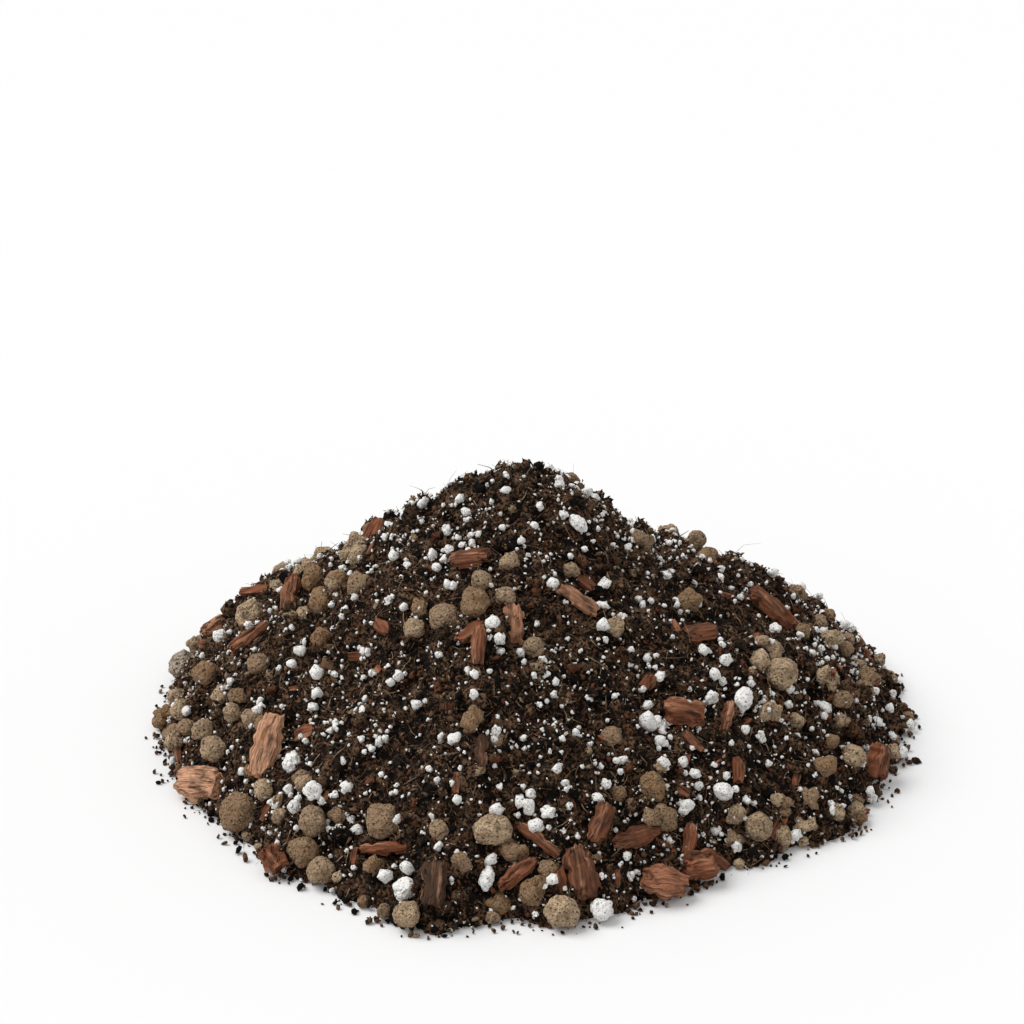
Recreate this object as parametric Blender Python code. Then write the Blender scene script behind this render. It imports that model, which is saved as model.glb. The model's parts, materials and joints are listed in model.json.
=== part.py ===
"""Heap of loose potting compost with bark chips, clay pebbles, perlite and a grey stone in it.

Metres, +Z up. The heap lies on z = 0 with its front towards -Y, and the origin is on its
underside. The compost itself is one solid. Each large piece is a solid of its own, and sits in
a socket in the compost with a small gap all round. Smaller pieces are one with the compost.
"""

import itertools
import math
import random

import bmesh
import bpy
from mathutils import Matrix, Vector, noise
from mathutils.bvhtree import BVHTree
from mathutils.geometry import delaunay_2d_cdt

MM = 0.001

# The heap. Its foot is an uneven ring, given as shares of its radius at even steps from +X.
PEAK_HEIGHT = 97 * MM
PEAK_X = -6 * MM
PEAK_Y = 5 * MM
FOOT_RADIUS = 117 * MM
FOOT_SHAPE = (
    1.0, 1.08, 1.1, 1.0, 0.94, 0.98, 1.03, 1.05, 1.06, 1.08, 1.08, 1.05,
    1.0, 0.96, 0.91, 0.9, 0.93, 0.96, 0.94, 0.9, 0.86, 0.87, 0.94, 0.98,
)
FOOT_WAVE = 17 * MM
FOOT_WAVE_DEPTH = 9 * MM
CONE_POWER = 1.5
SKIRT_SHARE = 0.3
SKIRT_POWER = 5.5
CLOD_WIDTH = 26 * MM
CLOD_HEIGHT = 7 * MM
CRUMB_WIDTH = 12 * MM
CRUMB_HEIGHT = 5 * MM
FOOT_FADE = 0.12
RINGS = 18
SCATTER = 0.3

# How the pieces lie in the heap
CLEARANCE = 0.3 * MM
SUNK_SHARE = 0.34
LEAST_SUNK = 1.5 * MM
OUTERMOST = 1.0
FLOOR_SKIN = 0.8 * MM
SLOPE_REACH = 5 * MM
SETTLE_ROUNDS = 90
SETTLE_STEP = 0.35 * MM
SIGHT_STEP = 0.5 * MM

# The photograph's viewpoint: 1024 pixels across, looking along +Y and down.
VIEW_X = -6 * MM
VIEW_Y = -706 * MM
VIEW_Z = 376 * MM
VIEW_POINT = Vector((VIEW_X, VIEW_Y, VIEW_Z))
VIEW_PITCH = math.radians(22.8)
VIEW_LENS = 88 * MM
VIEW_SENSOR = 36 * MM
FRAME_PX = 1024

# Each chip: pixel where its middle is seen, heading seen there in degrees, then length, width
# and thickness in mm, how far it stands up out of the slope, and how much its ends narrow.
BARK_CHIPS = (
    ((470, 558), 8, (13, 7.5, 4), 0.1, 0.1),
    ((290, 593), 80, (15, 6.5, 5), 0.8, 0.2),
    ((214, 626), 28, (12, 8, 5), 0.5, 0.4),
    ((248, 639), 36, (17, 5.5, 4.5), 0.6, 0.5),
    ((266, 746), 72, (21, 10.5, 5), 0.6, 0.3),
    ((200, 783), -8, (18.5, 12, 6), 0.2, 0.1),
    ((386, 849), 2, (17, 5, 4.5), 0.0, 0.1),
    ((272, 862), -50, (9.5, 8.5, 7), 0.3, 0.1),
    ((578, 597), -32, (14.5, 7, 4.5), 0.0, 0.1),
    ((514, 626), -84, (14, 7, 4.5), 0.1, 0.1),
    ((701, 632), 10, (11, 9, 5), 0.2, 0.1),
    ((773, 608), -42, (20, 8, 5), 0.3, 0.2),
    ((684, 713), -5, (14, 10, 5), 0.1, 0.2),
    ((727, 715), 84, (11.5, 5, 4), 0.3, 0.3),
    ((878, 757), 76, (12, 10, 9), 0.6, 0.1),
    ((599, 829), 66, (13, 7.5, 4.5), 0.1, 0.2),
    ((581, 868), -74, (16, 11, 5), 0.0, 0.3),
    ((636, 839), 16, (16, 7.5, 5.5), 0.0, 0.6),
    ((540, 842), -38, (16, 4, 3.5), 0.0, 0.2),
    ((517, 874), 40, (15, 6, 5), 0.0, 0.5),
    ((674, 879), -10, (14, 10, 8), 0.3, 0.3),
    ((715, 893), 4, (11, 10, 9), 0.3, 0.1),
    ((434, 886), 86, (13.5, 8, 6), 0.2, 0.1),
    ((482, 750), -88, (11.5, 5, 3.5), 0.0, 0.7),
)

# Each pebble or grain: pixel of its middle, heading seen there, then its three sizes in mm.
CLAY_PEBBLES = (
    ((445, 620), 0, (10.5, 10, 9.5)),
    ((475, 603), 90, (10.5, 8.7, 8.5)),
    ((238, 813), 0, (12.8, 12.2, 10.5)),
    ((493, 832), -8, (11.8, 8.6, 8.5)),
    ((562, 914), -20, (10.5, 9, 8)),
    ((781, 674), 0, (10.8, 10.2, 9.5)),
    ((250, 616), 60, (10.5, 10, 9)),
    ((313, 821), 75, (9.2, 7.8, 7.5)),
    ((301, 855), 0, (9.5, 9, 8)),
    ((315, 875), 60, (8.6, 8, 7.5)),
    ((383, 823), -50, (10.8, 10, 9)),
    ((406, 916), 30, (8.6, 7.5, 7)),
    ((758, 826), -15, (9.8, 8.6, 8)),
    ((653, 788), -70, (8.8, 7.2, 7)),
    ((665, 819), -62, (8.8, 6, 6)),
    ((313, 578), 70, (9.5, 7.8, 7.5)),
    ((214, 750), -60, (9.8, 8.4, 8)),
)
GREY_STONES = (((183, 665), 40, (12, 11, 9.5)),)
PERLITE_GRAINS = (
    ((743, 701), 88, (8.4, 6, 5.6)),
    ((723, 792), -35, (6.6, 5, 5)),
    ((604, 914), 0, (6.8, 6.6, 6)),
    ((404, 890), 20, (7.2, 6.6, 6)),
    ((578, 524), -45, (7.2, 4.2, 4.2)),
    ((292, 763), 60, (6.8, 5.4, 5)),
    ((486, 879), 80, (7.4, 4.4, 4.4)),
)

# Smaller pebbles, one with the compost: pixel of the middle, and breadth in mm.
SMALL_PEBBLES = (
    ((482, 580), 5.6), ((509, 562), 5.2), ((505, 597), 6.2), ((571, 571), 4.8),
    ((614, 628), 5.8), ((533, 648), 6), ((414, 630), 6.4), ((419, 610), 5.2),
    ((321, 638), 6.4), ((321, 601), 7.4), ((336, 581), 7.4), ((355, 545), 7.4),
    ((358, 585), 7.4), ((304, 614), 5), ((207, 675), 8.2), ((259, 664), 6.4),
    ((238, 697), 5.6), ((222, 695), 6.6), ((182, 711), 7), ((163, 727), 5.6),
    ((178, 741), 6), ((203, 730), 7.4), ((233, 713), 6.6), ((252, 720), 6.2),
    ((250, 774), 4.6), ((373, 867), 5.6), ((338, 816), 4.8), ((439, 830), 5.6),
    ((513, 851), 6.6), ((461, 862), 5.6), ((547, 870), 5.2), ((533, 892), 7),
    ((618, 794), 6), ((612, 737), 5.6), ((473, 721), 6.4), ((497, 739), 4.4),
    ((760, 661), 6.4), ((775, 652), 5.4), ((827, 679), 7.4), ((842, 700), 6.6),
    ((802, 631), 5), ((770, 712), 6), ((796, 721), 5), ((841, 721), 5.4),
    ((831, 742), 5), ((853, 757), 7.4), ((825, 767), 7), ((689, 602), 7.8),
    ((779, 845), 7.6), ((864, 691), 7.2), ((265, 790), 7), ((497, 903), 7),
    ((782, 807), 5.8), ((736, 814), 6), ((763, 642), 5), ((735, 838), 6.4),
    ((808, 799), 6), ((802, 824), 7),
)
# Gravel of about the same sizes lies on the far side and round the foot, spread by a fixed seed.
GRAVEL = 420
GRAVEL_LEAST = 4.5 * MM
GRAVEL_MOST = 8 * MM
GRAVEL_SEED = 11
GRAVEL_ROOM = 1.3
GRAVEL_FRONT_SHARE = 0.85

# Colours as linear RGB, roughness and metallic value
FINISHES = {
    "peat": ((0.030, 0.019, 0.012, 1), 0.9, 0.0),
    "bark": ((0.170, 0.060, 0.030, 1), 0.8, 0.0),
    "clay": ((0.150, 0.100, 0.060, 1), 0.95, 0.0),
    "stone": ((0.085, 0.078, 0.068, 1), 0.9, 0.0),
    "perlite": ((0.78, 0.77, 0.74, 1), 0.9, 0.0),
}


def clear_scene():
    for item in list(bpy.data.objects):
        bpy.data.objects.remove(item)


def finish_named(name):
    """A Principled material in one of the FINISHES."""
    material = bpy.data.materials.get(name)
    if material is None:
        colour, roughness, metallic = FINISHES[name]
        material = bpy.data.materials.new(name)
        material.use_nodes = True
        shader = material.node_tree.nodes["Principled BSDF"]
        shader.inputs["Base Color"].default_value = colour
        shader.inputs["Roughness"].default_value = roughness
        shader.inputs["Metallic"].default_value = metallic
        material.diffuse_color = colour
    return material


def foot_radius(bearing):
    """Radius of the foot at a bearing in radians, eased between the values given."""
    count = len(FOOT_SHAPE)
    place = (bearing / math.tau) % 1 * count
    before = int(place)
    share = place - before
    share = share * share * (3 - 2 * share)
    ring = FOOT_SHAPE[before % count] * (1 - share) + FOOT_SHAPE[(before + 1) % count] * share
    on_ring = Vector((math.cos(bearing), math.sin(bearing), 0)) * FOOT_RADIUS / FOOT_WAVE
    return FOOT_RADIUS * ring + FOOT_WAVE_DEPTH * noise.noise(on_ring)


def share_out(x, y):
    """0 at the middle of the heap, 1 at its foot."""
    return math.hypot(x, y) / foot_radius(math.atan2(y, x))


def heap_height(x, y):
    """Height of the loose surface, with its clods, above the floor."""
    out = share_out(x, y)
    if out >= 1:
        return 0.0
    from_peak = math.hypot(x - PEAK_X, y - PEAK_Y) / foot_radius(math.atan2(y, x))
    run = min(1.0, from_peak * (1 - out) + out * out)
    cone = (1 - SKIRT_SHARE) * (1 - run) ** CONE_POWER
    skirt = SKIRT_SHARE * (1 - run**SKIRT_POWER)
    clods = CLOD_HEIGHT * noise.noise(Vector((x, y, 0)) / CLOD_WIDTH)
    crumbs = CRUMB_HEIGHT * noise.noise(Vector((y, x, CLOD_WIDTH)) / CRUMB_WIDTH)
    fade = min(1.0, (1 - out) / FOOT_FADE)
    return max(0.0, PEAK_HEIGHT * (cone + skirt) + fade * (clods + crumbs))


def slope_normal(x, y):
    """Upward normal of the heap, averaged over a stretch about as wide as a piece."""
    across = heap_height(x + SLOPE_REACH, y) - heap_height(x - SLOPE_REACH, y)
    along = heap_height(x, y + SLOPE_REACH) - heap_height(x, y - SLOPE_REACH)
    return Vector((-across, -along, 2 * SLOPE_REACH)).normalized()


def view_axes():
    """The photograph's right, up and forward directions."""
    right = Vector((1, 0, 0))
    forward = Vector((0, math.cos(VIEW_PITCH), -math.sin(VIEW_PITCH)))
    return right, right.cross(forward), forward


def sight_line(pixel):
    """Direction from the viewpoint through a pixel of the photograph."""
    right, up, forward = view_axes()
    focal_px = VIEW_LENS / VIEW_SENSOR * FRAME_PX
    middle = FRAME_PX / 2
    return (forward * focal_px + right * (pixel[0] - middle) - up * (pixel[1] - middle)).normalized()


def seat_height(x, y, lift, floor_lift):
    """Height of a piece's middle: lift above the heap, and no lower than it stands on the floor."""
    return max(heap_height(x, y) + lift, floor_lift)


def hold_on_heap(x, y):
    """The nearest place that is no further out than the foot."""
    out = share_out(x, y)
    if out <= OUTERMOST:
        return x, y
    return x * OUTERMOST / out, y * OUTERMOST / out


def place_seen_at(pixel, lift, floor_lift):
    """(x, y) where a piece's middle meets the sight line through this pixel.

    A line that passes over the heap gives the place where it comes nearest to it.
    """
    direction = sight_line(pixel)
    far = VIEW_POINT.length / 2
    nearest = None
    least = math.inf
    while True:
        point = VIEW_POINT + direction * far
        over = point.z - seat_height(point.x, point.y, lift, floor_lift)
        on_heap = share_out(point.x, point.y) <= OUTERMOST
        if over <= 0:
            if on_heap or nearest is None:
                return hold_on_heap(point.x, point.y)
            return nearest
        if on_heap and over < least:
            nearest = (point.x, point.y)
            least = over
        far += SIGHT_STEP


class Piece:
    """A hard piece lying in the heap: a mesh about its own middle, a place and a turn."""

    def __init__(self, name, finish, points, faces, turn, pixel):
        self.name = name
        self.finish = finish
        self.points = [turn @ point for point in points]
        self.faces = faces
        self.lowest = min(point.z for point in self.points)
        self.reach = max(point.length for point in self.points) + CLEARANCE
        height = max(point.z for point in self.points) - self.lowest
        self.lift = -self.lowest - SUNK_SHARE * height
        self.floor_lift = FLOOR_SKIN - self.lowest
        self.socket = grown_hull(self.points, faces, CLEARANCE)
        self.lay(*place_seen_at(pixel, self.lift, self.floor_lift))

    def lay(self, x, y):
        """Puts the middle over a place, with the piece at least a little way into the heap."""
        resting = max(heap_height(x + point.x, y + point.y) - point.z for point in self.points)
        lift = min(self.lift, resting - LEAST_SUNK - heap_height(x, y))
        self.middle = Vector((x, y, seat_height(x, y, lift, self.floor_lift)))

    def tree(self, points, faces):
        return BVHTree.FromPolygons([self.middle + point for point in points], faces)

    def slide(self, shift):
        self.lay(*hold_on_heap(self.middle.x + shift.x, self.middle.y + shift.y))


def grown_hull(points, faces, by):
    """Points and faces of the hull round the points once they are pushed out along their normals."""
    shape = bmesh.new()
    corners = [shape.verts.new(point) for point in points]
    for face in faces:
        shape.faces.new([corners[i] for i in face])
    shape.normal_update()
    moved = [corner.co + corner.normal * by * max(1.0, corner.calc_shell_factor()) for corner in corners]
    shape.clear()
    for point in moved:
        shape.verts.new(point)
    bmesh.ops.convex_hull(shape, input=shape.verts)
    bmesh.ops.delete(shape, geom=[v for v in shape.verts if not v.link_faces], context="VERTS")
    bmesh.ops.recalc_face_normals(shape, faces=shape.faces)
    shape.verts.index_update()
    hull_points = [corner.co.copy() for corner in shape.verts]
    hull_faces = [[corner.index for corner in face.verts] for face in shape.faces]
    shape.free()
    return hull_points, hull_faces


def settle(pieces):
    """Slides pieces apart along the heap until each is clear of the others."""
    for _ in range(SETTLE_ROUNDS):
        bare = [piece.tree(piece.points, piece.faces) for piece in pieces]
        wide = [piece.tree(*piece.socket) for piece in pieces]
        shifts = [Vector((0, 0)) for _ in pieces]
        for i, j in itertools.combinations(range(len(pieces)), 2):
            apart = pieces[i].middle - pieces[j].middle
            if apart.length < pieces[i].reach + pieces[j].reach and wide[i].overlap(bare[j]):
                away = Vector((apart.x, apart.y)).normalized() * SETTLE_STEP
                shifts[i] += away
                shifts[j] -= away
        for piece, shift in zip(pieces, shifts):
            if shift.length:
                piece.slide(shift)
        if not any(shift.length for shift in shifts):
            return


def pebble_shape(sizes, lumps, seed, detail=2):
    """Points and faces of a rounded lump of these three sizes, with bumps of this share."""
    shape = bmesh.new()
    bmesh.ops.create_icosphere(shape, subdivisions=detail, radius=0.5)
    for corner in shape.verts:
        corner.co *= 1 + lumps * noise.noise(corner.co * 3 + Vector((seed, -seed, 2 * seed)) * 1.7)
        corner.co = Vector(size * part for size, part in zip(sizes, corner.co))
    points = [corner.co.copy() for corner in shape.verts]
    faces = [[corner.index for corner in face.verts] for face in shape.faces]
    shape.free()
    return points, faces


def chip_shape(length, width, thickness, narrowing, seed):
    """Points and faces of a split chip: a ragged slab with its grain along X."""
    rng = random.Random(seed)
    stations = (-0.5, -0.3, 0.02, 0.3, 0.5)
    profile = ((-0.5, -0.1), (-0.3, -0.5), (0.32, -0.45), (0.5, 0.12), (0.26, 0.5), (-0.34, 0.42))
    points = []
    for station in stations:
        end = (2 * abs(station)) ** 2
        broad = width * (1 - end * (0.16 + 0.8 * narrowing)) * rng.uniform(0.88, 1.06)
        thick = thickness * (1 - end * 0.3) * rng.uniform(0.85, 1.05)
        drift = width * 0.06 * rng.uniform(-1, 1)
        for across, through in profile:
            ragged = 0.09 * length * rng.uniform(-1, 0.2) * end * math.copysign(1, station)
            x = station * length + ragged
            y = across * broad * rng.uniform(0.9, 1.05) + drift
            z = through * thick * rng.uniform(0.85, 1.1)
            points.append(Vector((x, y, z)))
    sides = len(profile)
    faces = [list(range(sides))[::-1], [sides * (len(stations) - 1) + i for i in range(sides)]]
    for row in range(len(stations) - 1):
        for i in range(sides):
            a, b = row * sides + i, row * sides + (i + 1) % sides
            faces.append([a, b, b + sides])
            faces.append([a, b + sides, a + sides])
    return points, faces


def turn_seen(pixel, heading, stand):
    """Turn that points a piece's X along a heading seen in the photograph, and its Z out of the heap.

    With stand at 0 the piece lies along the slope, and at 1 it stands square to the view.
    """
    right, up, _ = view_axes()
    direction = sight_line(pixel)
    x, y = place_seen_at(pixel, 0.0, 0.0)
    normal = slope_normal(x, y)
    seen = right * math.cos(heading) + up * math.sin(heading)
    lying = (seen - direction * (seen.dot(normal) / direction.dot(normal))).normalized()
    along = lying.lerp(seen, stand).normalized()
    out = (normal - along * normal.dot(along)).normalized()
    return Matrix((along, out.cross(along), out)).transposed()


def bark_chips():
    made = []
    for number, (pixel, heading, sizes, stand, narrowing) in enumerate(BARK_CHIPS, 1):
        length, width, thickness = (size * MM for size in sizes)
        points, faces = chip_shape(length, width, thickness, narrowing, number)
        turn = turn_seen(pixel, math.radians(heading), stand)
        made.append(Piece(f"bark_chip_{number:02}", "bark", points, faces, turn, pixel))
    return made


def rounded_pieces(table, name, finish, lumps):
    made = []
    for number, (pixel, heading, sizes) in enumerate(table, 1):
        points, faces = pebble_shape([size * MM for size in sizes], lumps, number)
        turn = turn_seen(pixel, math.radians(heading), 0.0)
        label = f"{name}_{number:02}" if len(table) > 1 else name
        made.append(Piece(label, finish, points, faces, turn, pixel))
    return made


def small_pebbles(pieces):
    """(middle, radius) of the pebbles that are one with the compost, on all sides of the heap."""
    places = []
    for pixel, breadth in SMALL_PEBBLES:
        radius = breadth * MM / 2
        places.append((*place_seen_at(pixel, radius / 2, radius), radius))
    taken = [(piece.middle.x, piece.middle.y, piece.reach) for piece in pieces] + places
    rng = random.Random(GRAVEL_SEED)
    for _ in range(GRAVEL):
        bearing = rng.uniform(0, math.tau)
        share = math.sqrt(rng.uniform(0.06, 0.95))
        radius = rng.uniform(GRAVEL_LEAST, GRAVEL_MOST) / 2
        x, y = (share * foot_radius(bearing) * turn for turn in (math.cos(bearing), math.sin(bearing)))
        if y < 0 and share < GRAVEL_FRONT_SHARE:
            continue
        if all(math.hypot(x - u, y - v) > GRAVEL_ROOM * (radius + r) for u, v, r in taken):
            places.append((x, y, radius))
            taken.append((x, y, radius))
    return [(Vector((x, y, heap_height(x, y) + radius / 3)), radius) for x, y, radius in places]


def new_object(name, points, faces, finish=None):
    mesh = bpy.data.meshes.new(name)
    mesh.from_pydata([tuple(point) for point in points], [], faces)
    if finish:
        mesh.materials.append(finish_named(finish))
    made = bpy.data.objects.new(name, mesh)
    bpy.context.scene.collection.objects.link(made)
    return made


def surface_plan(pebbles):
    """(x, y) of the surface's points: the foot first, then the slope, then each small pebble."""
    rng = random.Random(GRAVEL_SEED)
    foot_count = 6 * RINGS
    plan = []
    for i in range(foot_count):
        bearing = math.tau * i / foot_count
        out = foot_radius(bearing)
        plan.append(Vector((out * math.cos(bearing), out * math.sin(bearing))))
    slope = [Vector((0, 0))]
    for ring in range(1, RINGS):
        for i in range(6 * ring):
            bearing = math.tau * (i + SCATTER * rng.uniform(-1, 1)) / (6 * ring)
            out = foot_radius(bearing) * (ring + SCATTER * rng.uniform(-1, 1)) / RINGS
            slope.append(Vector((out * math.cos(bearing), out * math.sin(bearing))))
    for middle, radius in pebbles:
        slope = [point for point in slope if (point - middle.to_2d()).length > 1.45 * radius]
    for number, (middle, radius) in enumerate(pebbles):
        hill = middle.to_2d()
        for share, count in ((0.55, 3), (1.12, 5)):
            for i in range(count):
                bearing = number + math.tau * i / count
                slope.append(hill + share * radius * Vector((math.cos(bearing), math.sin(bearing))))
    return foot_count, plan + [point for point in slope if share_out(*point) < 1 - 0.4 / RINGS]


def surface_height(x, y, pebbles):
    """Height of the heap with its small pebbles."""
    height = heap_height(x, y)
    for middle, radius in pebbles:
        off = (Vector((x, y)) - middle.to_2d()).length
        if off < radius:
            height = max(height, middle.z + math.sqrt(radius**2 - off**2))
    return height


def mound_shape(pieces):
    """Points and faces of the compost without its sockets: an uneven surface over a flat underside."""
    pebbles = small_pebbles(pieces)
    foot_count, plan = surface_plan(pebbles)
    foot = list(range(foot_count))
    flat, _, faces, _, _, _ = delaunay_2d_cdt(plan, [], [foot], 1, 1e-7)
    points = [Vector((*point, surface_height(*point, pebbles))) for point in flat]
    for i in foot:
        points[i].z = 0.0
    return points, [list(face) for face in faces] + [foot[::-1]]


def largest_island(mesh):
    """Drops the crumbs that the sockets cut off, so that the compost is one body."""
    shape = bmesh.new()
    shape.from_mesh(mesh)
    left = set(shape.verts)
    islands = []
    while left:
        island = set()
        edge_of_search = [left.pop()]
        while edge_of_search:
            corner = edge_of_search.pop()
            island.add(corner)
            for edge in corner.link_edges:
                other = edge.other_vert(corner)
                if other in left:
                    left.remove(other)
                    edge_of_search.append(other)
        islands.append(island)
    islands.sort(key=len)
    for island in islands[:-1]:
        bmesh.ops.delete(shape, geom=list(island), context="VERTS")
    bmesh.ops.dissolve_degenerate(shape, dist=1e-6, edges=shape.edges)
    bmesh.ops.triangulate(shape, faces=shape.faces)
    shape.to_mesh(mesh)
    shape.free()


def compost_mound(pieces):
    """The compost with its small pebbles, less a socket for each larger piece."""
    sockets = bpy.data.collections.new("sockets")
    for piece in pieces:
        points, faces = piece.socket
        cutter = new_object(f"socket_{piece.name}", [piece.middle + point for point in points], faces)
        cutter.hide_render = True
        cutter.display_type = "WIRE"
        sockets.objects.link(cutter)

    mound = new_object("compost_mound", *mound_shape(pieces), finish="peat")
    cut = mound.modifiers.new("cut", "BOOLEAN")
    cut.operation = "DIFFERENCE"
    cut.operand_type = "COLLECTION"
    cut.collection = sockets
    bpy.context.view_layer.update()
    graph = bpy.context.evaluated_depsgraph_get()
    mesh = bpy.data.meshes.new_from_object(mound.evaluated_get(graph))
    mound.modifiers.clear()
    mound.data = mesh
    largest_island(mesh)
    mesh.shade_smooth()
    mesh.set_sharp_from_angle(angle=math.radians(50))
    for cutter in list(sockets.objects):
        bpy.data.objects.remove(cutter)
    bpy.data.collections.remove(sockets)


def main():
    clear_scene()
    pieces = bark_chips()
    pieces += rounded_pieces(CLAY_PEBBLES, "clay_pebble", "clay", 0.22)
    pieces += rounded_pieces(GREY_STONES, "grey_stone", "stone", 0.35)
    pieces += rounded_pieces(PERLITE_GRAINS, "perlite_grain", "perlite", 0.35)
    settle(pieces)
    compost_mound(pieces)
    for piece in pieces:
        made = new_object(piece.name, piece.points, piece.faces, piece.finish)
        made.location = piece.middle
        made.data.shade_smooth()
        made.data.set_sharp_from_angle(angle=math.radians(35 if piece.finish == "bark" else 80))


main()
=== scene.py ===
"""The looks of a heap of loose potting compost, laid out as a Blender add-on.

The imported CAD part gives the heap's form and the place of each larger piece. Every operator
here makes one kind of thing that lies in the heap, or the stage under it.
"""

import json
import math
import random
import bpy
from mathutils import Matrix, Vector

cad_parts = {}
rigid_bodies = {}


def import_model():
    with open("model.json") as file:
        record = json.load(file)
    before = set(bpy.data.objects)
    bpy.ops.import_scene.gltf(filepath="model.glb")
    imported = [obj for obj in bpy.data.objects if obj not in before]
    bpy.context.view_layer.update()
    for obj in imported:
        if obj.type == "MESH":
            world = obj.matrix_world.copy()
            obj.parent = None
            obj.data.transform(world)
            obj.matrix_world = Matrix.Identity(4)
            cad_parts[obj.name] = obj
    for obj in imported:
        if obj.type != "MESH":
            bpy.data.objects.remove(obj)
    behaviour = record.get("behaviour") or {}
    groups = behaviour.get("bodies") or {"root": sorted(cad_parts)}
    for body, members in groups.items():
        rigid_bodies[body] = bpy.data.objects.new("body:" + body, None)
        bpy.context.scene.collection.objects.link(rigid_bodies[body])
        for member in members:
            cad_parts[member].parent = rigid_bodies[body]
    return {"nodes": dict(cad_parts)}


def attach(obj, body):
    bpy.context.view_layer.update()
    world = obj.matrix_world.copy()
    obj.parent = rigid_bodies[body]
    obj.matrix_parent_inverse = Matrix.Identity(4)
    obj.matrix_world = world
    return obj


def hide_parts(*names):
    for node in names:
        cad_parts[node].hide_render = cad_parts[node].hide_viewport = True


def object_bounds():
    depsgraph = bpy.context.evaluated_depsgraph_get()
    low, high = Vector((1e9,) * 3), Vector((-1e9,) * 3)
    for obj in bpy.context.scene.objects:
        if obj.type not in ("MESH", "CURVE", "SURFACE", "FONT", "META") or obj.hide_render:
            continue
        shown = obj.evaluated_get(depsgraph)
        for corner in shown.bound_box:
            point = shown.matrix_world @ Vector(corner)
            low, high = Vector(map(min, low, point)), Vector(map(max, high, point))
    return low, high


bl_info = {
    "name": "Heap of potting compost",
    "version": (1, 0, 0),
    "blender": (4, 5, 0),
    "location": "3D View > Sidebar > Compost",
    "description": "Peat, bark, clay pebbles and perlite for a heap of potting compost",
    "category": "Object",
}

import bmesh
import bpy
import numpy as np
from bpy.props import FloatProperty, FloatVectorProperty, IntProperty, PointerProperty
from mathutils import Vector, noise
from mathutils.bvhtree import BVHTree
from mathutils.kdtree import KDTree

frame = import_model()
CAD_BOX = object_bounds()

MM = 0.001
MOUND = "compost_mound"
HARD = [name for name in sorted(frame["nodes"]) if name != MOUND]
# How far loose things may stand out past the CAD part's box
ROOM = 2.5 * MM
# Points nearer than this, to each other or to the floor, touch.
TOUCHING = 1e-6

# The photograph's viewpoint: 1024 pixels across, looking along +Y and down.
VIEW_POINT = Vector((-6 * MM, -706 * MM, 376 * MM))
VIEW_PITCH = math.radians(22.8)
VIEW_LENS_MM = 88
VIEW_SENSOR_MM = 36
FRAME_PX = 1024

# The stage: the table's width in metres, and where the soft light comes from.
TABLE_WIDTH = 12
KEY_SIDE = Vector((-0.7, 0.12, 1))

# Clay pebbles that are bumps of the CAD compost: pixel of the middle, and breadth in mm.
SMALL_PEBBLES = (
    ((482, 580), 5.6), ((509, 562), 5.2), ((505, 597), 6.2), ((571, 571), 4.8),
    ((614, 628), 5.8), ((533, 648), 6), ((414, 630), 6.4), ((419, 610), 5.2),
    ((321, 638), 6.4), ((321, 601), 7.4), ((336, 581), 7.4), ((355, 545), 7.4),
    ((358, 585), 7.4), ((304, 614), 5), ((207, 675), 8.2), ((259, 664), 6.4),
    ((238, 697), 5.6), ((222, 695), 6.6), ((182, 711), 7), ((163, 727), 5.6),
    ((178, 741), 6), ((203, 730), 7.4), ((233, 713), 6.6), ((252, 720), 6.2),
    ((250, 774), 4.6), ((373, 867), 5.6), ((338, 816), 4.8), ((439, 830), 5.6),
    ((513, 851), 6.6), ((461, 862), 5.6), ((547, 870), 5.2), ((533, 892), 7),
    ((618, 794), 6), ((612, 737), 5.6), ((473, 721), 6.4), ((497, 739), 4.4),
    ((760, 661), 6.4), ((775, 652), 5.4), ((827, 679), 7.4), ((842, 700), 6.6),
    ((802, 631), 5), ((770, 712), 6), ((796, 721), 5), ((841, 721), 5.4),
    ((831, 742), 5), ((853, 757), 7.4), ((825, 767), 7), ((689, 602), 7.8),
    ((779, 845), 7.6), ((864, 691), 7.2), ((265, 790), 7), ((497, 903), 7),
    ((782, 807), 5.8), ((736, 814), 6), ((763, 642), 5), ((735, 838), 6.4),
    ((808, 799), 6), ((802, 824), 7),
)
# How far behind its seen point such a pebble's middle lies, as a share of its breadth.
PEBBLE_DEPTH = 0.42
# The CAD compost's other bumps, which the CAD source spreads with this seed.
GRAVEL = 420
GRAVEL_LEAST = 4.5 * MM
GRAVEL_MOST = 8 * MM
GRAVEL_SEED = 11
# In front, where the pebbles above stand, they start this far out on the way to the foot.
GRAVEL_FRONT_SHARE = 0.85
# How far under its top a bump's middle lies, in radii.
GRAVEL_DEPTH = 0.835
# One bump in this many stays a clod of peat, and the others are pebbles.
GRAVEL_CLODS = 2

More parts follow.
